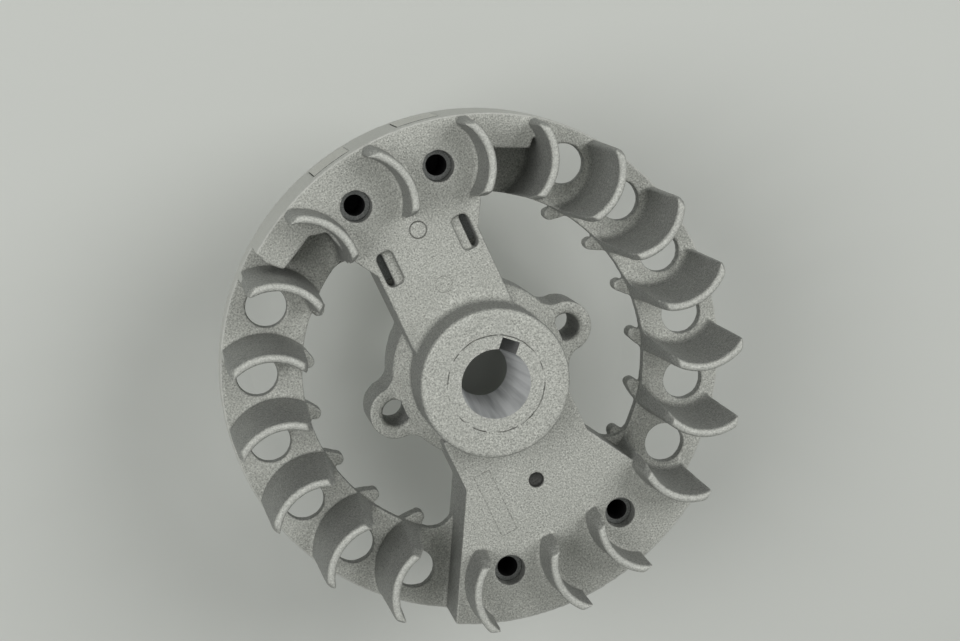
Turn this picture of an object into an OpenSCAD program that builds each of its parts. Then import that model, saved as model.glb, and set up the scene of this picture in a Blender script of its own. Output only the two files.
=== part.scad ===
// Fan flywheel of a small single-cylinder two-stroke engine.
// The frame: +Z runs along the crankshaft axis towards the fan blades, +Y points at the middle of
// the magnet arm, and the origin is on the axis in the plane of the rear rim edge. Millimetres.

/* [Ring] */
// Radius of the rim, which sets the flywheel's overall diameter
rim_r = 49; // [40:0.5:60]
// Inner radius of the fan ring
ring_in_r = 33.5; // [30:0.5:38]
// Height of the ring's upper face above the rear rim edge
ring_top = 4.5; // [4:0.25:8]
// Thickness of the ring's plate
plate_t = 2.4; // [2:0.2:4]
// Width of the rim band that hangs below the plate
rim_w = 2; // [1.5:0.25:4]

/* [Fan] */
// Angle of the first blade's curve centre, anticlockwise from +X; the others follow it clockwise
blade_from = 80; // [76:0.5:84]
// Angle from one blade to the next where the ring is open
open_gap = 18.1; // [17:0.1:19]
// Angle from one blade to the next where a rivet or an arm's edge lies between them
wide_gap = 22; // [20:0.2:24]
// Height of the blade tips
blade_top = 23; // [15:0.5:24]
// Blade thickness at the ring
blade_root_t = 2.6; // [2:0.1:3.5]
// Blade thickness at the tip
blade_tip_t = 1.6; // [1:0.1:2.5]
// Radius of each blade's curve in plan
blade_curve_r = 10; // [8:0.1:12]
// Radius of the circle that the curves' centres lie on
blade_curve_pcr = 40.9; // [38:0.1:43]
// Radius of the air holes between the blades
air_hole_r = 3.9; // [3:0.1:5]
// Radius of the circle that the air holes lie on
air_hole_pcr = 42; // [38:0.5:44]

/* [Hub] */
// Radius of the hub's nose
hub_r = 14.1; // [12:0.1:16]
// Height of the hub's nose
hub_top = 23; // [18:0.5:28]
// Radius of the hub's foot
foot_r = 17.2; // [15:0.1:18]
// Height of the hub's foot and of its two lugs
foot_top = 10; // [8:0.5:12]
// Radius of the tapered bore at the nose
bore_big_r = 6.5; // [5:0.1:8]
// Radius of the tapered bore at the nut's seat
bore_small_r = 5.1; // [4:0.1:7]
// Height of the nut's seat above the rear face
nut_seat = 9; // [6:0.5:12]
// Radius of the nut's recess
nut_recess_r = 9.5; // [8:0.25:11]
// Width of the keyway
key_w = 3.4; // [2:0.1:5]
// Radius that the keyway reaches out to
key_r = 8.6; // [7:0.1:10]
// Angle of the keyway
key_angle = 46; // [0:1:90]

/* [Lugs] */
// Radius of the circle that the two bolt holes lie on
lug_pcr = 18.2; // [17:0.1:20]
// Radius of each lug
lug_r = 5; // [4:0.25:6]
// Radius of each bolt hole, drilled for M6
lug_hole_r = 2.5; // [2:0.1:3]

/* [Arms] */
// Height of the two heavy arms
arm_top = 14.4; // [12:0.2:18]
// Half the angle that the magnet arm takes on the rim
magnet_half_angle = 34.4; // [28:0.2:40]
// Half the angle that the counterweight arm takes on the rim
weight_half_angle = 31.4; // [26:0.2:38]

/* [Steel] */
// Number of steel sheets in each pole shoe
pole_sheets = 8; // [6:1:10]
// Number of steel plates in the counterweight
weight_plates = 6; // [4:1:8]
// Height where the steel starts
steel_bottom = 2; // [1:0.2:4]
// Height where the steel ends
steel_top = 11.2; // [9:0.2:13]
// Half the width of the magnet
magnet_half_w = 5; // [4:0.2:6]
// Half the distance across the two pole shoes
pole_out_x = 12.6; // [10:0.2:14]
// Half the distance across the pole shoes' narrow legs
pole_leg_x = 9.4; // [8:0.2:10]
// Distance from the axis to the legs' inner ends
pole_in_y = 24; // [22:0.5:26]
// Distance from the axis to where the legs widen
pole_head_y = 33; // [31:0.5:36]
// Outer radius of a rivet
rivet_r = 2.5; // [2:0.1:3]
// Radius of the hole through a rivet
rivet_hole_r = 2; // [1.2:0.1:2.2]
// Radius of the round wells over the rivets
well_r = 2.9; // [2.5:0.1:3.5]

/* [Hidden] */
eps = 0.5;
blades = 19;
open_gaps = 12;
wide_gaps = 5;
narrow_gap = (360 - open_gaps * open_gap - wide_gaps * wide_gap) / (blades - open_gaps - wide_gaps);
air_hole_lag = 4.5;
fin_start = 200;
fin_end = 314;
rear_fin_start = 206;
rear_fin_t = 2.2;
lug_fillet_r = 4;
window_fillet_r = 4.6;
lap = 0.1;
arm_tip_r = rim_r + 4;
neck_half_w = 10.4;
weight_root = [12.9, -18.5];
weight_tip = [arm_tip_r * sin(weight_half_angle) + 0.4, -arm_tip_r * cos(weight_half_angle)];
weight_side = weight_tip - weight_root;
weight_side_angle = atan2(weight_side.x, -weight_side.y);
weight_side_reach = weight_root * [cos(weight_side_angle), sin(weight_side_angle)];
sheet_t = (steel_top - steel_bottom) / pole_sheets;
plate_h = (steel_top - steel_bottom) / weight_plates;
magnet_rivets_xy = [8.4, 39.4];
weight_rivets_xy = [12, -36.9];
weight_in_r = 34;
weight_out_r = 43.5;
weight_steel_angle = 25;
flange_r = 2.8;
flange_t = 0.6;
fillet_r = 2.2;
edge = 0.8;
aluminium = [0.66, 0.67, 0.65];
steel = [0.45, 0.46, 0.47];
dark = [0.25, 0.25, 0.27];

$fn = 96;

POLE_NAMES = [for (side = ["left", "right"]) for (i = [1:pole_sheets]) str("pole_", side, "_sheet_", i)];
WEIGHT_NAMES = [for (i = [1:weight_plates]) str("counterweight_plate_", i)];
BLADE_NAMES = [for (i = [1:blades]) str("blade_", i < 10 ? "0" : "", i)];

// ---------------------------------------------------------------- shared shapes

// A ring of the given radii, from z0 to z1
module tube(r_out, r_in, z0, z1) {
    difference() {
        translate([0, 0, z0]) cylinder(h = z1 - z0, r = r_out);
        translate([0, 0, z0 - eps]) cylinder(h = z1 - z0 + 2 * eps, r = r_in);
    }
}

// The same thing at both sides of the YZ plane
module both_sides() {
    children();
    mirror([1, 0, 0]) children();
}

// Angle between blade i and the next one clockwise: narrower beside the wide gaps of each arm
function gap_after(i) =
    (i == 1 || i == 9) ? narrow_gap :
    (i == 8 || i == 10 || i == 11 || i > 17) ? wide_gap : open_gap;

// Angle of blade i's curve centre
function blade_angle(i) = i == 1 ? blade_from : blade_angle(i - 1) - gap_after(i - 1);

// One curved fin in plan, root_w wide at z0 and tip_w at z1, with a small fillet on its hollow side
module curved_fin(angle, z0, z1, root_w, tip_w) {
    round_h = tip_w / 3;
    rotate([0, 0, angle])
        translate([blade_curve_pcr, 0, 0])
            rotate([0, 0, fin_start])
                rotate_extrude(angle = fin_end - fin_start)
                    polygon([
                        [blade_curve_r - root_w / 2, z0 + 2],
                        [blade_curve_r - root_w / 2 - 0.4, z0 + 0.8],
                        [blade_curve_r - root_w / 2 - 1.2, z0],
                        [blade_curve_r + root_w / 2, z0],
                        [blade_curve_r + tip_w / 2, z1 - round_h],
                        [blade_curve_r + tip_w / 5, z1],
                        [blade_curve_r - tip_w / 5, z1],
                        [blade_curve_r - tip_w / 2, z1 - round_h]
                    ]);
}

// Plan of the magnet arm: a neck that opens into a wide head, with a step beside each outer blade
module magnet_arm_plan(outer = rim_r) {
    neck = [[neck_half_w, 8], [neck_half_w, 26], [12.8, 30], [14.2, 33.5], [15.2, 37.5]];
    head = [[18.4, 38.3], [22, 36.4], [25.3, 34.9], [27.6, 37.4]];
    tip = arm_tip_r * [sin(magnet_half_angle), cos(magnet_half_angle)];
    intersection() {
        circle(r = outer);
        both_sides() polygon(concat([[0, 8]], neck, head, [tip, [0, arm_tip_r]]));
    }
}

// Plan of the counterweight arm: it widens evenly from the hub to the rim
module weight_arm_plan(outer = rim_r) {
    intersection() {
        circle(r = outer);
        both_sides() polygon([[0, -8], [13, -8], weight_root, weight_tip, [0, -arm_tip_r]]);
    }
}

// ---------------------------------------------------------------- the aluminium casting

// Hollow fillet where the nose rises from the two arms
module nose_fillet() {
    steps = 6;
    intersection() {
        rotate_extrude() polygon(concat(
            [[hub_r - 1, arm_top], [hub_r + fillet_r, arm_top]],
            [for (i = [1:steps]) let (a = 90 * i / steps)
                [hub_r + fillet_r * (1 - sin(a)), arm_top + fillet_r * (1 - cos(a))]],
            [[hub_r - 1, arm_top + fillet_r]]
        ));
        translate([0, 0, arm_top]) linear_extrude(fillet_r) {
            magnet_arm_plan();
            weight_arm_plan();
        }
    }
}

// Hollow fillet between the foot and one side of the lug on +X
module lug_fillet() {
    foot_reach = foot_r + lug_fillet_r - lap;
    lug_reach = lug_r + lug_fillet_r - lap;
    cx = (foot_reach * foot_reach - lug_reach * lug_reach + lug_pcr * lug_pcr) / (2 * lug_pcr);
    cy = sqrt(foot_reach * foot_reach - cx * cx);
    in_foot = [cx, cy] * 0.9 * foot_r / foot_reach;
    in_lug = [lug_pcr, 0] + ([cx, cy] - [lug_pcr, 0]) * 0.8 * lug_r / lug_reach;
    linear_extrude(foot_top) difference() {
        polygon([[foot_r - 3, 0], in_foot, [cx, cy], in_lug, [lug_pcr, 0]]);
        translate([cx, cy]) circle(r = lug_fillet_r);
    }
}

// Hub: the nose, the foot with its two bolt lugs, the tapered bore and its keyway
module hub() {
    color(aluminium) difference() {
        union() {
            translate([0, 0, foot_top - eps]) cylinder(h = hub_top - edge - foot_top + eps, r = hub_r);
            translate([0, 0, hub_top - edge]) cylinder(h = edge, r1 = hub_r, r2 = hub_r - edge / 2);
            cylinder(h = foot_top, r = foot_r);
            translate([0, 0, foot_top]) cylinder(h = 2.5, r1 = foot_r, r2 = hub_r);
            for (side = [-1, 1]) translate([side * lug_pcr, 0, 0]) cylinder(h = foot_top, r = lug_r);
            both_sides() {
                lug_fillet();
                mirror([0, 1, 0]) lug_fillet();
            }
            nose_fillet();
        }
        translate([0, 0, -eps]) cylinder(h = nut_seat + eps, r = nut_recess_r);
        translate([0, 0, nut_seat]) cylinder(h = hub_top - nut_seat, r1 = bore_small_r, r2 = bore_big_r);
        translate([0, 0, nut_seat - eps]) cylinder(h = 2 * eps, r = bore_small_r);
        translate([0, 0, hub_top - 0.01]) cylinder(h = eps, r = bore_big_r);
        rotate([0, 0, key_angle])
            translate([0, -key_w / 2, nut_seat - eps])
                cube([key_r, key_w, hub_top - nut_seat + 2 * eps]);
        for (side = [-1, 1]) translate([side * lug_pcr, 0, 0]) {
            translate([0, 0, -eps]) cylinder(h = foot_top + 2 * eps, r = lug_hole_r);
            translate([0, 0, foot_top - 0.6]) cylinder(h = 0.6, r1 = lug_hole_r, r2 = lug_hole_r + 0.6);
        }
    }
}

// Everything that the two arms take up, without their pockets, out to the given radius
module arms_envelope(outer) {
    translate([0, 0, -eps]) linear_extrude(arm_top + eps) {
        magnet_arm_plan(outer);
        weight_arm_plan(outer);
    }
}

// True where the ring is open, clear of both arms
function in_open(angle) = let (a = abs(((angle + 540) % 360) - 180)) a < 52 || a > 125;

// One short fin below the ring, which follows the blade above it and has a round inner end
module rear_fin(angle) {
    fin_h = ring_top - plate_t / 2;
    intersection() {
        rotate([0, 0, angle]) translate([blade_curve_pcr, 0, 0]) rotate([0, 0, rear_fin_start]) {
            rotate_extrude(angle = fin_end - rear_fin_start)
                translate([blade_curve_r - rear_fin_t / 2, 0]) square([rear_fin_t, fin_h]);
            translate([blade_curve_r, 0, 0]) cylinder(h = fin_h, r = rear_fin_t / 2 + lap);
        }
        cylinder(h = ring_top, r = rim_r - rim_w / 2);
    }
}

// Rounded window corner between the ring's inner edge and an arm's side, for a side at x = reach
module window_corner(reach) {
    centre_r = ring_in_r - window_fillet_r + lap;
    cx = reach + window_fillet_r - lap;
    cy = sqrt(centre_r * centre_r - cx * cx);
    in_ring = ring_in_r + 1;
    in_arm = reach - 2;
    start = cy + 2;
    translate([0, 0, ring_top - plate_t]) linear_extrude(plate_t) difference() {
        polygon([[in_arm, start], [cx, cy], [cx, cy] * in_ring / centre_r, [in_arm, in_ring]]);
        translate([cx, cy]) circle(r = window_fillet_r);
    }
}

// Fan ring: a thin plate with round air holes, a rim band and short rear fins below it
module fan_ring() {
    color(aluminium) difference() {
        union() {
            difference() {
                tube(rim_r, ring_in_r, ring_top - plate_t, ring_top);
                for (i = [1:blades]) if (in_open(blade_angle(i)))
                    rotate([0, 0, blade_angle(i) - air_hole_lag]) translate([air_hole_pcr, 0, -eps])
                        cylinder(h = ring_top + 2 * eps, r = air_hole_r);
            }
            tube(rim_r, rim_r - rim_w, 0, ring_top - plate_t);
            for (i = [1:blades]) if (in_open(blade_angle(i))) rear_fin(blade_angle(i));
            both_sides() {
                window_corner(neck_half_w);
                rotate([0, 0, weight_side_angle]) mirror([0, 1, 0]) window_corner(weight_side_reach);
            }
        }
        arms_envelope(rim_r + 2);
    }
}

// The slots over the pole shoes: open to the steel on their outer side, with a low step on the inner side
module pole_slots() {
    slot_w = 3.3;
    slot_l = 6.8;
    corner_r = 1.1;
    step_w = 1.9;
    both_sides() translate([7.7, 26.2, 0]) difference() {
        translate([0, 0, steel_top - eps]) linear_extrude(arm_top - steel_top + 2 * eps) hull() {
            for (x = [-1, 1], y = [-1, 1])
                translate([x * (slot_w / 2 - corner_r), y * (slot_l / 2 - corner_r)])
                    circle(r = corner_r, $fn = 32);
        }
        translate([-slot_w / 2, -slot_l / 2, steel_top - 1])
            cube([step_w, slot_l, arm_top - steel_top]);
    }
}

// Room for the steel pack under the magnet arm's face
module magnet_pack_space() {
    translate([0, 0, steel_bottom]) linear_extrude(steel_top - steel_bottom) {
        both_sides() pole_sheet_plan(false);
        magnet_plan();
    }
}

// Magnet arm: carries the magnet and its two pole shoes out to the rim
module magnet_arm() {
    color(aluminium) difference() {
        linear_extrude(arm_top) difference() {
            magnet_arm_plan();
            circle(r = hub_r);
        }
        translate([0, 0, -eps]) cylinder(h = foot_top + eps, r = foot_r);
        translate([0, 0, foot_top]) cylinder(h = 2.5, r1 = foot_r, r2 = hub_r);
        magnet_pack_space();
        both_sides() translate([magnet_rivets_xy.x, magnet_rivets_xy.y, steel_top - eps])
            cylinder(h = arm_top - steel_top + 2 * eps, r = well_r);
        pole_slots();
    }
}

// Counterweight arm: balances the magnet arm and holds the steel plates
module counterweight_arm() {
    color(aluminium) difference() {
        linear_extrude(arm_top) difference() {
            weight_arm_plan();
            circle(r = hub_r);
        }
        translate([0, 0, -eps]) cylinder(h = foot_top + eps, r = foot_r);
        translate([0, 0, foot_top]) cylinder(h = 2.5, r1 = foot_r, r2 = hub_r);
        translate([0, 0, steel_bottom]) linear_extrude(steel_top - steel_bottom) weight_plate_plan(false);
        both_sides() translate([weight_rivets_xy.x, weight_rivets_xy.y, steel_top - eps])
            cylinder(h = arm_top - steel_top + 2 * eps, r = well_r);
        translate([0, -23.1, arm_top - 1.6]) cylinder(h = 2, r = 1.5);
    }
}

// One fan blade, cut off square at the rim and sloped at its inner end
module blade(i) {
    color(aluminium) difference() {
        intersection() {
            curved_fin(blade_angle(i), ring_top, blade_top, blade_root_t, blade_tip_t);
            rotate_extrude() polygon([
                [ring_in_r, ring_top],
                [rim_r - 0.2, ring_top],
                [rim_r - 0.6, blade_top - 2],
                [rim_r - 1.4, blade_top],
                [ring_in_r + 1.8, blade_top],
                [ring_in_r + 0.8, blade_top - 3]
            ]);
        }
        arms_envelope(rim_r + 2);
    }
}

// ---------------------------------------------------------------- the steel and the magnet

// Plan of one pole sheet on the +X side, with or without its rivet hole
module pole_sheet_plan(holed) {
    difference() {
        intersection() {
            circle(r = rim_r);
            polygon([
                [magnet_half_w, pole_in_y],
                [pole_leg_x, pole_in_y],
                [pole_leg_x, pole_head_y],
                [pole_out_x, pole_head_y + 2],
                [pole_out_x, rim_r + 2],
                [magnet_half_w, rim_r + 2]
            ]);
        }
        if (holed) translate(magnet_rivets_xy) circle(r = rivet_r);
    }
}

module magnet_plan() {
    translate([-magnet_half_w, 25.5]) square([2 * magnet_half_w, 9.5]);
}

module weight_plate_plan(holed) {
    difference() {
        intersection() {
            difference() {
                circle(r = weight_out_r);
                circle(r = weight_in_r);
            }
            polygon([
                [0, 0],
                [60 * sin(weight_steel_angle), -60 * cos(weight_steel_angle)],
                [-60 * sin(weight_steel_angle), -60 * cos(weight_steel_angle)]
            ]);
        }
        if (holed) both_sides() translate(weight_rivets_xy) circle(r = rivet_r);
    }
}

module pole_sheet(side, i) {
    color(steel) translate([0, 0, steel_bottom + (i - 1) * sheet_t]) linear_extrude(sheet_t)
        mirror([side == "left" ? 1 : 0, 0, 0]) pole_sheet_plan(true);
}

module counterweight_plate(i) {
    color(steel) translate([0, 0, steel_bottom + (i - 1) * plate_h]) linear_extrude(plate_h)
        weight_plate_plan(true);
}

module magnet() {
    color(dark) translate([0, 0, steel_bottom]) linear_extrude(steel_top - steel_bottom) magnet_plan();
}

// Tubular rivet: a plain shank with a turned-over flange on top
module rivet() {
    difference() {
        union() {
            translate([0, 0, steel_bottom]) cylinder(h = steel_top - steel_bottom, r = rivet_r);
            translate([0, 0, steel_top]) cylinder(h = flange_t, r = flange_r);
        }
        translate([0, 0, steel_bottom + 1]) cylinder(h = steel_top, r = rivet_hole_r);
    }
}

module rivet_pair(at) {
    color(steel) both_sides() translate([at.x, at.y, 0]) rivet();
}

hub();
fan_ring();
magnet_arm();
counterweight_arm();
magnet();
rivet_pair(magnet_rivets_xy);  // magnet_rivets
rivet_pair(weight_rivets_xy);  // counterweight_rivets
for (i = [1:blades]) blade(i);
for (side = ["left", "right"]) for (i = [1:pole_sheets])
    pole_sheet(side, i);
for (i = [1:weight_plates]) counterweight_plate(i);
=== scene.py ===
# %% [markdown]
# # A cast fan flywheel
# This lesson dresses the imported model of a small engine's fan flywheel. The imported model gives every
# size and place; Blender adds what a drawing leaves out: the soft corners of a die casting, its blasted
# grain, the bright turned bore, the steel seen in its windows, and a plain studio to look at it in.
# All lengths are in metres, so `mm` is used to write them as a maker would.

# %% Load the frame
import math
import bpy
import bmesh
from mathutils import Matrix, Vector


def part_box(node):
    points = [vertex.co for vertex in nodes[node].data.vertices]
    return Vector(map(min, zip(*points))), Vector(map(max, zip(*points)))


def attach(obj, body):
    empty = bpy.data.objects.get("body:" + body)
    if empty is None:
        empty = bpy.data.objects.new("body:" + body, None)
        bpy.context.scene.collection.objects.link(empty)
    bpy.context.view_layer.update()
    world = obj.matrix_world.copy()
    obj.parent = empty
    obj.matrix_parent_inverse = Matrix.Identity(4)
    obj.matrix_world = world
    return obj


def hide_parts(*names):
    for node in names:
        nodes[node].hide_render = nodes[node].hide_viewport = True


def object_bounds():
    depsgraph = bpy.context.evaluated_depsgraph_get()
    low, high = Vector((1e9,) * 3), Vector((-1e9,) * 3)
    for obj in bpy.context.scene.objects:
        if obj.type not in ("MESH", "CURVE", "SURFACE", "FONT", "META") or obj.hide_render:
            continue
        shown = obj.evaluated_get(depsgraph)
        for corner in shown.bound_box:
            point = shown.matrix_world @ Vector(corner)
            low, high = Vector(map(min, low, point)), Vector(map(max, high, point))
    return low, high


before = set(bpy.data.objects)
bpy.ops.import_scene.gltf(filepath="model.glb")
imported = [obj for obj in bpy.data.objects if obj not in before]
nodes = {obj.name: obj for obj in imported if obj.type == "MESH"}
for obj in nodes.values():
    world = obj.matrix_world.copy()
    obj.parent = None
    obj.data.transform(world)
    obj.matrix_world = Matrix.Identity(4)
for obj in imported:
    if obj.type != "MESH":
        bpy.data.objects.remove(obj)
cad_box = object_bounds()
mm = 0.001
print("nodes:", len(nodes), "box:", [tuple(round(v / mm, 2) for v in corner) for corner in cad_box])

# %% [markdown]
# ## The camera
# The flywheel lies on its rear face and is seen from above, leaning a little towards the magnet arm,
# with the magnet arm turned to the upper left. A camera is placed by three things: where it stands,
# what it looks at, and which way is up in the picture. The three axes follow from cross products,
# which is clearer than typing angles. A 67.5 mm lens keeps the gentle perspective of a close photograph.

# %% Camera
camera_at = Vector((-33.05, 91.62, 337.70)) * mm
look_at = Vector((3.71, 8.82, 10.0)) * mm
picture_up = Vector((0.4478, 0.8775, -0.1715))

lens = bpy.data.cameras.new("studio_camera")
lens.lens = 67.5
lens.sensor_width = 36.0
lens.clip_start = 0.01
camera = bpy.data.objects.new("studio_camera", lens)
back = (camera_at - look_at).normalized()
right = picture_up.cross(back).normalized()
up = back.cross(right)
camera.matrix_world = Matrix.Translation(camera_at) @ Matrix((right, up, back)).transposed().to_4x4()
bpy.context.scene.collection.objects.link(camera)
bpy.context.scene.camera = camera
print("camera stands", round((camera_at - look_at).length / mm), "mm away")

# %% [markdown]
# ## Small helpers for materials
# Node trees are easier to read when each step is one short call. `math_step` adds a Math node and
# returns its result, so a formula reads from the inside out. `spread` turns a range of values into
# a mask from 0 to 1. A group is a reusable effect: its inputs and outputs are made with
# `interface.new_socket`, and each material places it with its own numbers.

# %% Node helpers
def new_node(tree, kind, **settings):
    made = tree.nodes.new(kind)
    for name, value in settings.items():
        setattr(made, name, value)
    return made


def feed(tree, socket, value):
    if isinstance(value, bpy.types.NodeSocket):
        tree.links.new(value, socket)
    else:
        socket.default_value = value


def math_step(tree, operation, *values):
    made = new_node(tree, "ShaderNodeMath", operation=operation)
    for socket, value in zip(made.inputs, values):
        feed(tree, socket, value)
    return made.outputs[0]


def spread(tree, value, low, high, to_low=0.0, to_high=1.0):
    made = new_node(tree, "ShaderNodeMapRange")
    for socket, number in zip(made.inputs, (value, low, high, to_low, to_high)):
        feed(tree, socket, number)
    return made.outputs[0]


def blend_colours(tree, factor, first, second, kind="MIX"):
    made = new_node(tree, "ShaderNodeMix", data_type="RGBA", blend_type=kind)
    feed(tree, made.inputs["Factor"], factor)
    feed(tree, made.inputs[6], first)
    feed(tree, made.inputs[7], second)
    return made.outputs[2]


def noise(tree, place, scale, detail=2.0, roughness=0.5):
    made = new_node(tree, "ShaderNodeTexNoise")
    feed(tree, made.inputs["Vector"], place)
    made.inputs["Scale"].default_value = scale
    made.inputs["Detail"].default_value = detail
    made.inputs["Roughness"].default_value = roughness
    return made.outputs["Fac"]


def new_group(name, inputs, outputs):
    tree = bpy.data.node_groups.new(name, "ShaderNodeTree")
    for label, kind in inputs:
        tree.interface.new_socket(label, in_out="INPUT", socket_type=kind)
    for label, kind in outputs:
        tree.interface.new_socket(label, in_out="OUTPUT", socket_type=kind)
    return tree, tree.nodes.new("NodeGroupInput").outputs, tree.nodes.new("NodeGroupOutput").inputs


def place_group(tree, group, **values):
    made = new_node(tree, "ShaderNodeGroup", node_tree=group)
    for label, value in values.items():
        feed(tree, made.inputs[label], value)
    return made.outputs


NUMBER, VECTOR = "NodeSocketFloat", "NodeSocketVector"
print("helpers ready")

# %% [markdown]
# ## Effects shared by the finishes
# ** Grain** is what shot blasting leaves: dimples about a third of a millimetre wide, and a slower
# mottling a few millimetres across. **Edge wear and hollow shade** reads how far the surface bulges or dips
# at each point, so that corners show bright worn metal and hollows are darkened as dust and painted shade.
# **Ring line** marks a thin circle, as left by an ejector pin or an insert of the die.

# %% Grain group
grain_group, g_in, g_out = new_group(
    "blast_grain",
    [("Place", VECTOR), ("Size", NUMBER)],
    [("Dimples", NUMBER), ("Mottle", NUMBER), ("Specks", NUMBER)],
)
dimple_place = new_node(grain_group, "ShaderNodeVectorMath", operation="SCALE")
feed(grain_group, dimple_place.inputs[0], g_in["Place"])
feed(grain_group, dimple_place.inputs["Scale"], math_step(grain_group, "DIVIDE", 1.0, g_in["Size"]))
fine = noise(grain_group, dimple_place.outputs[0], 1.0, 3.0, 0.65)
cells = new_node(grain_group, "ShaderNodeTexVoronoi", feature="F1")
feed(grain_group, cells.inputs["Vector"], dimple_place.outputs[0])
cells.inputs["Scale"].default_value = 0.8
feed(grain_group, g_out["Dimples"], math_step(grain_group, "ADD", fine, math_step(
    grain_group, "MULTIPLY", cells.outputs["Distance"], 0.25)))
feed(grain_group, g_out["Mottle"], noise(grain_group, g_in["Place"], 160.0, 3.0, 0.55))
feed(grain_group, g_out["Specks"], spread(grain_group, noise(
    grain_group, dimple_place.outputs[0], 0.45, 1.0, 0.5), 0.66, 0.74))
print("grain outputs:", [s.name for s in g_out if s.name])

# %% [markdown]
# The pointiness of a mesh is 0.5 where it is flat, more on a bulging edge and less in a hollow. The
# group leaves a small dead band around 0.5, so that flat faces stay plain.

# %% Edge group
edge_group, e_in, e_out = new_group(
    "edge_wear_and_hollow_shade", [("Reach", NUMBER)], [("Edge", NUMBER), ("Hollow", NUMBER)])
bulge = new_node(edge_group, "ShaderNodeNewGeometry").outputs["Pointiness"]
edge_from, hollow_from = 0.505, 0.495
feed(edge_group, e_out["Edge"], spread(
    edge_group, bulge, edge_from, math_step(edge_group, "ADD", edge_from, e_in["Reach"])))
feed(edge_group, e_out["Hollow"], spread(
    edge_group, bulge, hollow_from, math_step(edge_group, "SUBTRACT", hollow_from, e_in["Reach"])))
print("edge outputs:", [s.name for s in e_out if s.name])

# %% [markdown]
# A ring is drawn by how far a point lies from the centre in plan. The line fades over its width on
# both sides of the radius, and `Inside` is 1 within it.

# %% Ring line group
ring_group, r_in, r_out = new_group(
    "ring_line",
    [("Place", VECTOR), ("Centre", VECTOR), ("Radius", NUMBER), ("Width", NUMBER)],
    [("Line", NUMBER), ("Inside", NUMBER)],
)
from_centre = new_node(ring_group, "ShaderNodeVectorMath", operation="SUBTRACT")
feed(ring_group, from_centre.inputs[0], r_in["Place"])
feed(ring_group, from_centre.inputs[1], r_in["Centre"])
flat = new_node(ring_group, "ShaderNodeVectorMath", operation="MULTIPLY")
feed(ring_group, flat.inputs[0], from_centre.outputs[0])
flat.inputs[1].default_value = (1.0, 1.0, 0.0)
how_far = new_node(ring_group, "ShaderNodeVectorMath", operation="LENGTH")
feed(ring_group, how_far.inputs[0], flat.outputs[0])
off_line = math_step(ring_group, "ABSOLUTE", math_step(
    ring_group, "SUBTRACT", how_far.outputs["Value"], r_in["Radius"]))
feed(ring_group, r_out["Line"], spread(ring_group, off_line, r_in["Width"], 0.0))
feed(ring_group, r_out["Inside"], math_step(
    ring_group, "LESS_THAN", how_far.outputs["Value"], r_in["Radius"]))
print("groups:", [g.name for g in bpy.data.node_groups])

# %% [markdown]
# ## Cast aluminium
# The flat faces took the shot full on and are pale and grainy. The upright walls, shielded from it,
# stayed smoother and are also painted darker as shade, and the blade tips rubbed bright. One material tells
# these apart by which way the surface faces and how high it lies, so the whole casting shares it without
# seams.

# %% Cast aluminium
def start_material(name):
    made = bpy.data.materials.new(name)
    made.use_nodes = True
    tree = made.node_tree
    shader = tree.nodes["Principled BSDF"]
    place = tree.nodes.new("ShaderNodeTexCoord").outputs["Object"]
    return made, tree, shader, place


def add_bump(tree, shader, height, depth, strength=1.0):
    made = new_node(tree, "ShaderNodeBump")
    made.inputs["Strength"].default_value = strength
    made.inputs["Distance"].default_value = depth
    feed(tree, made.inputs["Height"], height)
    tree.links.new(made.outputs["Normal"], shader.inputs["Normal"])


cast, tree, shader, place = start_material("cast_aluminium")
shader.inputs["Metallic"].default_value = 0.35
grain = place_group(tree, grain_group, Place=place, Size=0.30 * mm)
edges = place_group(tree, edge_group, Reach=0.10)
facing = new_node(tree, "ShaderNodeSeparateXYZ")
feed(tree, facing.inputs[0], new_node(tree, "ShaderNodeNewGeometry").outputs["Normal"])
spot = new_node(tree, "ShaderNodeSeparateXYZ")
feed(tree, spot.inputs[0], place)
upright = spread(tree, math_step(tree, "ABSOLUTE", facing.outputs["Z"]), 0.75, 0.25)
tip_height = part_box("blade_05")[1].z
rim_r = cad_box[1][0]
rubbed = math_step(tree, "MULTIPLY", spread(
    tree, spot.outputs["Z"], tip_height - 0.8 * mm, tip_height - 0.2 * mm),
    spread(tree, facing.outputs["Z"], 0.3, 0.8))
out_from_axis = math_step(tree, "SQRT", math_step(tree, "ADD", math_step(
    tree, "POWER", spot.outputs["X"], 2.0), math_step(tree, "POWER", spot.outputs["Y"], 2.0)))
past_hub = math_step(tree, "GREATER_THAN", out_from_axis, 0.6 * rim_r)
rubbed = math_step(tree, "MULTIPLY", rubbed, past_hub)
rim_wall = math_step(tree, "GREATER_THAN", out_from_axis, rim_r - 0.35 * mm)

blasted = blend_colours(tree, spread(tree, grain["Dimples"], 0.35, 0.85),
                        (0.17, 0.175, 0.16, 1), (0.77, 0.78, 0.73, 1))
mottled = blend_colours(tree, math_step(tree, "MULTIPLY", grain["Mottle"], 0.35),
                        blasted, (0.38, 0.385, 0.36, 1))
# Upright walls get a darker, smoother colour: partly the unblasted skin, partly painted shade.
unblasted_wall_with_shade = blend_colours(tree, spread(tree, grain["Dimples"], 0.35, 0.85),
                            (0.11, 0.115, 0.11, 1), (0.36, 0.365, 0.35, 1))
walls = blend_colours(tree, math_step(tree, "MULTIPLY", upright, 0.9), mottled, unblasted_wall_with_shade)
walls = blend_colours(tree, math_step(tree, "MULTIPLY", rim_wall, 0.8), walls, (0.60, 0.605, 0.575, 1))
bright = blend_colours(tree, math_step(tree, "MULTIPLY", edges["Edge"], 0.20), walls, (0.60, 0.61, 0.58, 1))
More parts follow.
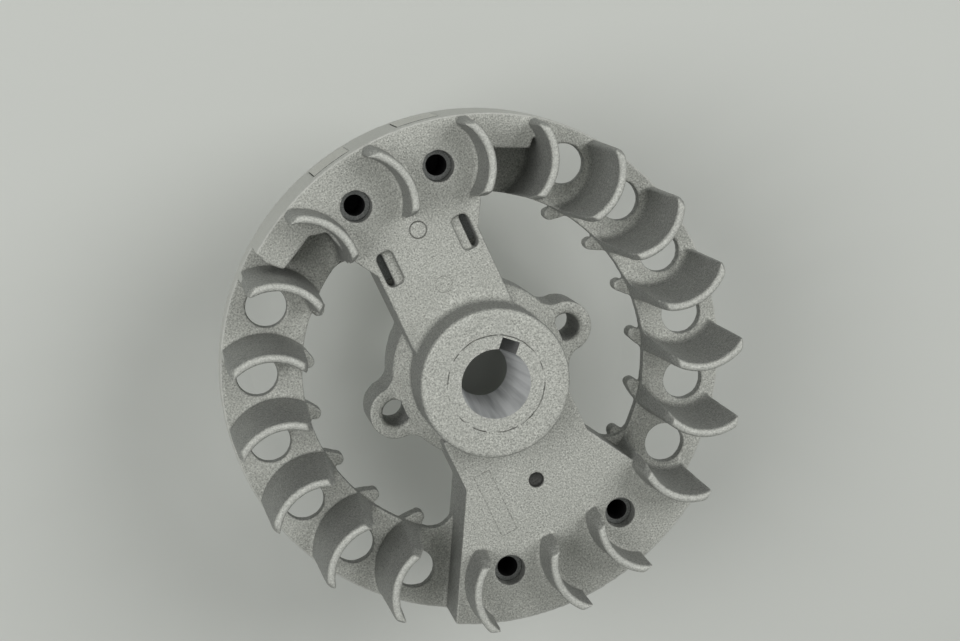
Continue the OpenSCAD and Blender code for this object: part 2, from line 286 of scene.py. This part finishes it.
# Hollows are darkened as dust and painted shade.
dust_and_shade = blend_colours(tree, math_step(tree, "MULTIPLY", edges["Hollow"], 0.5), bright, (0.10, 0.10, 0.09, 1))
tipped = blend_colours(tree, math_step(tree, "MULTIPLY", rubbed, 0.30), dust_and_shade, (0.66, 0.67, 0.64, 1))

print("cast tones:", len(tree.nodes), "nodes")

# %% [markdown]
# The die left marks on the top faces: the rings of two ejector pins on the magnet arm, a broken ring
# and a few pits around the bore, and the outline of a plate on the counterweight arm. They darken the
# metal and dip a little, so they go into both the colour and the bump.

# %% Marks left by the die
arm_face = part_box("magnet_arm")[1].z
on_face = math_step(tree, "GREATER_THAN", spot.outputs["Z"], arm_face - 0.3 * mm)
marks = []
pin_r = 1.57 * mm
for pin_y, depth in ((30.5 * mm, 1.0), (19.1 * mm, 0.35)):
    line = place_group(tree, ring_group, Place=place, Centre=(0, pin_y, 0), Radius=pin_r, Width=0.16 * mm)
    marks.append(math_step(tree, "MULTIPLY", line["Line"], depth))
wobble = math_step(tree, "MULTIPLY", noise(tree, place, 350.0, 3.0, 0.6), 0.5 * mm)
insert = place_group(tree, ring_group, Place=place, Centre=(0, 0, 0),
                     Radius=math_step(tree, "ADD", wobble, 8.85 * mm), Width=0.14 * mm)
broken = spread(tree, noise(tree, place, 260.0, 2.0, 0.5), 0.44, 0.54)
on_hub = math_step(tree, "GREATER_THAN", spot.outputs["Z"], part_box("hub")[1].z - 0.3 * mm)
insert_line = math_step(tree, "MULTIPLY", insert["Line"], on_hub)
marks.append(math_step(tree, "MULTIPLY", insert_line, broken))
pits = spread(tree, noise(tree, place, 700.0, 2.0, 0.5), 0.69, 0.76)
marks.append(math_step(tree, "MULTIPLY", math_step(tree, "MULTIPLY", pits, on_hub), 0.35))
panel_at, panel_half = (-9.0 * mm, -23.5 * mm), (1.6 * mm, 6.5 * mm)
beyond = [math_step(tree, "SUBTRACT", math_step(tree, "ABSOLUTE", math_step(
    tree, "SUBTRACT", spot.outputs[axis], at)), half) for axis, at, half in zip("XY", panel_at, panel_half)]
panel_line = spread(tree, math_step(tree, "ABSOLUTE", math_step(tree, "MAXIMUM", *beyond)), 0.14 * mm, 0.0)
marks.append(math_step(tree, "MULTIPLY", panel_line, 0.35))
all_marks = marks[0]
for mark in marks[1:]:
    all_marks = math_step(tree, "MAXIMUM", all_marks, mark)
all_marks = math_step(tree, "MULTIPLY", all_marks, on_face)
marked = blend_colours(tree, math_step(tree, "MULTIPLY", all_marks, 0.7), tipped, (0.08, 0.08, 0.07, 1))
# The small blind hole on the magnet arm is painted near-black below its mouth, as painted shade.
blind_hole = place_group(tree, ring_group, Place=place, Centre=(0, -23.1 * mm, 0),
                         Radius=1.5 * mm, Width=0.1 * mm)
hole_shade = math_step(tree, "MULTIPLY", blind_hole["Inside"], spread(
    tree, spot.outputs["Z"], arm_face - 0.3 * mm, arm_face - 0.8 * mm))
feed(tree, shader.inputs["Base Color"], blend_colours(
    tree, math_step(tree, "MULTIPLY", hole_shade, 0.85), marked, (0.03, 0.03, 0.03, 1)))
feed(tree, shader.inputs["Roughness"], spread(tree, grain["Mottle"], 0.3, 0.7, 0.52, 0.66))
height = math_step(tree, "SUBTRACT", math_step(tree, "MULTIPLY", grain["Dimples"], spread(
    tree, upright, 0.0, 1.0, 1.0, 0.7)), math_step(tree, "MULTIPLY", all_marks, 1.5))
add_bump(tree, shader, height, 0.16 * mm, 1.0)
print("cast aluminium:", len(tree.nodes), "nodes")

# %% [markdown]
# ## Turned bore, sheet steel, rivets and magnet
# The bore is reamed to a taper with fine turning grooves; its pale colour, with streaks along it, is partly
# a painted sheen of the light. Sheet steel shows as dark rolled metal with paler cut edges. The rivets are
# duller, and the magnet is a plain dark block.

# %% Turned aluminium
turned, tree, shader, place = start_material("turned_bore_painted_sheen")
shader.inputs["Metallic"].default_value = 0.40
spot = new_node(tree, "ShaderNodeSeparateXYZ")
feed(tree, spot.inputs[0], place)
around = math_step(tree, "ARCTAN2", spot.outputs["Y"], spot.outputs["X"])
streak_place = new_node(tree, "ShaderNodeCombineXYZ")
feed(tree, streak_place.inputs["X"], math_step(tree, "COSINE", around))
feed(tree, streak_place.inputs["Y"], math_step(tree, "SINE", around))
feed(tree, streak_place.inputs["Z"], math_step(tree, "MULTIPLY", spot.outputs["Z"], 8.0))
# The streaks along the bore and its pale colour stand partly for a painted sheen of the light.
sheen_streaks = noise(tree, streak_place.outputs[0], 3.2, 4.0, 0.55)
turn_pitch = 0.25 * mm
turn_marks = math_step(tree, "SINE", math_step(
    tree, "MULTIPLY", spot.outputs["Z"], 2 * math.pi / turn_pitch))
feed(tree, shader.inputs["Base Color"], blend_colours(
    tree, spread(tree, sheen_streaks, 0.35, 0.65), (0.46, 0.47, 0.48, 1), (0.92, 0.93, 0.94, 1)))
feed(tree, shader.inputs["Roughness"], spread(tree, sheen_streaks, 0.3, 0.7, 0.50, 0.36))
add_bump(tree, shader, math_step(tree, "ADD", turn_marks, math_step(
    tree, "MULTIPLY", sheen_streaks, 1.5)), 0.008 * mm, 0.6)

# %% [markdown]
# One function makes every plain metal: a dark and a pale tone mixed by the grain, a few stains, and
# a roughness that drifts with the mottling.

# %% Steels and magnet
def plain_metal(name, dark, pale, roughness, grain_size, metallic=0.8):
    made, tree, shader, place = start_material(name)
    shader.inputs["Metallic"].default_value = metallic
    grain = place_group(tree, grain_group, Place=place, Size=grain_size)
    shade = blend_colours(tree, spread(tree, grain["Dimples"], 0.35, 0.85), dark, pale)
    stained = blend_colours(tree, math_step(tree, "MULTIPLY", grain["Specks"], 0.4), shade, dark)
    feed(tree, shader.inputs["Base Color"], stained)
    feed(tree, shader.inputs["Roughness"], spread(
        tree, grain["Mottle"], 0.3, 0.7, roughness - 0.06, roughness + 0.06))
    add_bump(tree, shader, grain["Dimples"], 0.04 * mm, 0.5)
    return made


sheet_steel = plain_metal(
    "sheet_steel", (0.07, 0.075, 0.075, 1), (0.26, 0.27, 0.26, 1), 0.45, 0.20 * mm)
ground_steel = plain_metal(
    "ground_steel", (0.42, 0.42, 0.39, 1), (0.66, 0.66, 0.62, 1), 0.45, 0.20 * mm, 0.35)
rivet_steel = plain_metal(
    "rivet_steel", (0.12, 0.125, 0.125, 1), (0.34, 0.35, 0.34, 1), 0.42, 0.25 * mm)
# The keyway's broached metal is painted dark as the shade inside the notch.
keyway_shade_finish = plain_metal(
    "broached_keyway_painted_shade", (0.16, 0.16, 0.16, 1), (0.34, 0.34, 0.34, 1), 0.55, 0.25 * mm, 0.3)
magnet_dark = plain_metal(
    "magnet", (0.03, 0.03, 0.032, 1), (0.09, 0.09, 0.095, 1), 0.6, 0.30 * mm, 0.3)
# The inside of a tubular rivet is painted near-black as shade.
painted_rivet_shade = plain_metal(
    "rivet_bore_painted_shade", (0.006, 0.006, 0.007, 1), (0.02, 0.02, 0.022, 1), 0.7, 0.30 * mm, 0.1)
print("materials:", sorted(m.name for m in bpy.data.materials if m.users))

# %% [markdown]
# ## The casting
# Hub, ring, arms and blades are one pour of metal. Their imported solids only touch, with sharp corners
# between them. A voxel remesh fuses them into one skin, and a few passes of smoothing then round every
# corner alike, as draft and die wear do. The turned bore has to stay crisp, so the hole is first
# plugged, and cut again after the smoothing.

# %% Join and fuse
blade_names = sorted(n for n in nodes if n.startswith("blade_"))
cast_names = ["hub", "fan_ring", "magnet_arm", "counterweight_arm"] + blade_names
nose_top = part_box("hub")[1].z
nut_seat = 9 * mm
bore_small, bore_big = 5.1 * mm, 6.5 * mm
key_reach, key_width, key_angle = 8.6 * mm, 3.4 * mm, math.radians(46)
voxel = 0.3 * mm
kept_share = 0.21


def add_object(name, mesh):
    made = bpy.data.objects.new(name, mesh)
    bpy.context.scene.collection.objects.link(made)
    return made


def shape_object(name, build):
    """Makes an object from a function that fills an empty bmesh."""
    shape = bmesh.new()
    build(shape)
    mesh = bpy.data.meshes.new(name)
    shape.to_mesh(mesh)
    shape.free()
    return add_object(name, mesh)


def settle(piece):
    """Turns the piece's modifiers into its plain mesh."""
    graph = bpy.context.evaluated_depsgraph_get()
    made = bpy.data.meshes.new_from_object(piece.evaluated_get(graph), depsgraph=graph)
    old = piece.data
    piece.modifiers.clear()
    piece.data = made
    bpy.data.meshes.remove(old)
    return piece


def combine(piece, operation, build):
    tool = shape_object("tool", build)
    change = piece.modifiers.new("change", "BOOLEAN")
    change.operation = operation
    change.solver = "EXACT"
    change.object = tool
    settle(piece)
    bpy.data.objects.remove(tool)


def build_plug(shape):
    plug_r = key_reach + 0.6 * mm
    bmesh.ops.create_cone(
        shape, cap_ends=True, segments=96, radius1=plug_r, radius2=plug_r,
        depth=nose_top - nut_seat,
        matrix=Matrix.Translation((0, 0, (nose_top + nut_seat) / 2)))


hub_copy = add_object("hub_copy", nodes["hub"].data.copy())
combine(hub_copy, "UNION", build_plug)


def build_skin(shape):
    shape.from_mesh(hub_copy.data)
    for name in cast_names[1:]:
        shape.from_mesh(nodes[name].data)


casting = shape_object("casting", build_skin)
bpy.data.objects.remove(hub_copy)
fuse = casting.modifiers.new("fuse", "REMESH")
fuse.mode = "VOXEL"
fuse.voxel_size = voxel
soften = casting.modifiers.new("soften", "SMOOTH")
soften.factor = 0.5
soften.iterations = 7
settle(casting)
print("fused skin:", len(casting.data.polygons), "faces")

# %% [markdown]
# The remesh gives small even squares everywhere, many more than the flat faces need. Collapsing
# edges where the surface is flat keeps the corners and lets the flats go coarse. Loose specks, which
# a remesh can leave in a closed corner, are dropped by keeping only the largest joined piece.

# %% Thin out and drop specks
thin = casting.modifiers.new("thin", "DECIMATE")
thin.ratio = kept_share
settle(casting)


def keep_largest(piece):
    shape = bmesh.new()
    shape.from_mesh(piece.data)
    unseen = set(shape.verts)
    groups = []
    while unseen:
        group, edge_of_group = [], [unseen.pop()]
        while edge_of_group:
            vert = edge_of_group.pop()
            group.append(vert)
            for edge in vert.link_edges:
                other = edge.other_vert(vert)
                if other in unseen:
                    unseen.remove(other)
                    edge_of_group.append(other)
        groups.append(group)
    groups.sort(key=len)
    dropped = [vert for group in groups[:-1] for vert in group]
    bmesh.ops.delete(shape, geom=dropped, context="VERTS")
    shape.to_mesh(piece.data)
    shape.free()
    return len(dropped)


print("dropped", keep_largest(casting), "points; kept", len(casting.data.polygons), "faces")

# %% [markdown]
# The cutters run a little past both ends of the hole, so that no skin is left across it. The taper
# carries on at the same slope over that extra length, which keeps the bore's mouth at its true size.

# %% Cut the bore and the keyway
def build_bore(shape):
    over = 1.0 * mm
    slope = (bore_big - bore_small) / (nose_top - nut_seat)
    bmesh.ops.create_cone(
        shape, cap_ends=True, segments=128, radius1=bore_small - slope * over,
        radius2=bore_big + slope * over, depth=nose_top - nut_seat + 2 * over,
        matrix=Matrix.Translation((0, 0, (nose_top + nut_seat) / 2)))


def build_key(shape):
    tall = nose_top - nut_seat + 2 * mm
    size = Matrix.Diagonal((key_reach, key_width, tall, 1))
    shift = Matrix.Translation((key_reach / 2, 0, (nose_top + nut_seat) / 2))
    bmesh.ops.create_cube(shape, size=1.0, matrix=Matrix.Rotation(key_angle, 4, "Z") @ shift @ size)


for build in (build_bore, build_key):
    combine(casting, "DIFFERENCE", build)
print("after cutting:", len(casting.data.polygons), "faces")

# %% [markdown]
# Faces made by the cutters get their own finishes: turned metal in the bore with a painted sheen, and dull
# broached metal in the keyway, painted dark as shade. Edges over 50 degrees stay sharp, and weighted normals
# keep the thinned flats looking flat.

# %% Give the casting its finishes
casting.data.materials.clear()
for finish in (cast, turned, keyway_shade_finish):
    casting.data.materials.append(finish)
counts = [0, 0, 0]
key_way = Vector((math.cos(key_angle), math.sin(key_angle), 0))
for face in casting.data.polygons:
    centre = face.center
    reach = math.hypot(centre.x, centre.y)
    cut_face = reach < key_reach + 0.1 * mm and centre.z > nut_seat - 0.5 * mm and abs(face.normal.z) < 0.5
    aside = (centre - key_way * centre.dot(key_way)).to_2d().length
    in_key = centre.dot(key_way) > 0 and aside < key_width / 2 + 0.05 * mm
    face.material_index = (2 if in_key else 1) if cut_face else 0
    face.use_smooth = not (cut_face and in_key)
    counts[face.material_index] += 1
casting.data.set_sharp_from_angle(angle=math.radians(50))
casting.modifiers.new("flat_shading", "WEIGHTED_NORMAL").keep_sharp = True
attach(casting, "root")
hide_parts(*cast_names)
print("cast, turned and broached faces:", counts)

# %% [markdown]
# ## Steel pieces
# The laminations, rivets and magnet keep their imported shapes, which are right. A narrow bevel takes
# the knife edge off each sheet, so that the stack reads as separate leaves. The pole shoes were ground
# flush with the rim, so they are bright there, and the inside of a tubular rivet is painted near-black as
# shade.

# %% Steel pieces
def dress(name, material, bevel=0.0):
    piece = nodes[name]
    piece.data.materials.clear()
    piece.data.materials.append(material)
    if bevel:
        round_off = piece.modifiers.new("round_off", "BEVEL")
        round_off.width = bevel
        round_off.segments = 2
        round_off.limit_method = "ANGLE"
        round_off.angle_limit = math.radians(40)


def repaint(name, material, chosen):
    """Gives a second material to the faces of a piece whose centre passes the test."""
    mesh = nodes[name].data
    mesh.materials.append(material)
    for face in mesh.polygons:
        face.material_index = 1 if chosen(face.center) else 0


def at_rim(centre):
    return math.hypot(centre.x, centre.y) > rim_r - 1.0 * mm


for name in nodes:
    if name.startswith("counterweight_plate"):
        dress(name, sheet_steel, 0.12 * mm)
    if name.startswith("pole_"):
        dress(name, sheet_steel, 0.05 * mm)
        repaint(name, ground_steel, at_rim)
dress("magnet", magnet_dark, 0.2 * mm)
rivet_hole_r = 2.0 * mm
for name in ("magnet_rivets", "counterweight_rivets"):
    low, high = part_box(name)
    axis_x, axis_y = high.x - 2.8 * mm, (low.y + high.y) / 2
    dress(name, rivet_steel, 0.15 * mm)

    def in_hole(centre):
        aside = math.hypot(abs(centre.x) - axis_x, centre.y - axis_y)
        return aside < rivet_hole_r + 0.02 * mm and centre.z < high.z - 0.02 * mm

    # Faces inside the rivet's bore get the near-black painted shade.
    repaint(name, painted_rivet_shade, in_hole)
print("dressed")

# %% [markdown]
# ## Studio
# Two soft lamps, one on each side of the camera, light the flat faces and leave the upright walls
# darker. A pale world, as inside a light tent, fills the shadows. The flywheel is held above a matt
# sheet by a plinth under its hub, so that light reaches the air holes from beneath.

# %% Floor, lamp and world
floor_mesh = bpy.data.meshes.new("floor")
half = 3.0
corners = [(-half, -half, 0), (half, -half, 0), (half, half, 0), (-half, half, 0)]
floor_mesh.from_pydata(corners, [], [(0, 1, 2, 3)])
floor = bpy.data.objects.new("floor", floor_mesh)
floor_drop, post_r, post_gap = 34 * mm, 8.4 * mm, 1.2 * mm
floor.location.z = cad_box[0][2] - floor_drop
bpy.context.scene.collection.objects.link(floor)
sheet, tree, shader, place = start_material("pale_floor")
shader.inputs["Roughness"].default_value = 0.85
feed(tree, shader.inputs["Base Color"], blend_colours(
    tree, noise(tree, place, 6.0, 2.0, 0.5), (0.61, 0.625, 0.60, 1), (0.63, 0.645, 0.62, 1)))
floor.data.materials.append(sheet)


def build_plinth(shape):
    """A round plinth whose side sweeps out in a quarter circle to meet the floor level."""
    sweep, steps, sides = floor_drop - post_gap, 24, 96
    top = cad_box[0][2] - post_gap
    rings = []
    for step in range(steps + 1):
        turn = math.radians(90) * step / steps
        r, z = post_r + sweep * (1 - math.cos(turn)), top - sweep * math.sin(turn)
        rings.append([shape.verts.new((r * math.cos(a), r * math.sin(a), z))
                      for a in (2 * math.pi * k / sides for k in range(sides))])
    shape.faces.new(rings[0])
    for upper, lower in zip(rings, rings[1:]):
        for k in range(sides):
            shape.faces.new((upper[k - 1], lower[k - 1], lower[k], upper[k])).smooth = True


plinth = shape_object("display_plinth", build_plinth)
plinth.data.materials.append(sheet)


def add_lamp(name, at, size, power, tint):
    light = bpy.data.lights.new(name, "AREA")
    light.shape = "DISK"
    light.size = size
    light.energy = power
    light.color = tint
    lamp = bpy.data.objects.new(name, light)
    lamp.location = at
    lamp.rotation_euler = (Vector(at) - Vector((0, 0, 0.01))).to_track_quat("Z", "Y").to_euler()
    bpy.context.scene.collection.objects.link(lamp)


add_lamp("left_softbox", (-0.42, 0.30, 0.55), 0.50, 2.4, (1.0, 1.0, 0.985))
add_lamp("right_softbox", (0.50, 0.10, 0.55), 0.50, 2.4, (1.0, 1.0, 0.985))
world = bpy.data.worlds.new("studio")
world.use_nodes = True
world.node_tree.nodes["Background"].inputs["Color"].default_value = (0.95, 0.97, 0.93, 1)
world.node_tree.nodes["Background"].inputs["Strength"].default_value = 0.30
bpy.context.scene.world = world
bpy.context.scene.view_settings.view_transform = "Standard"
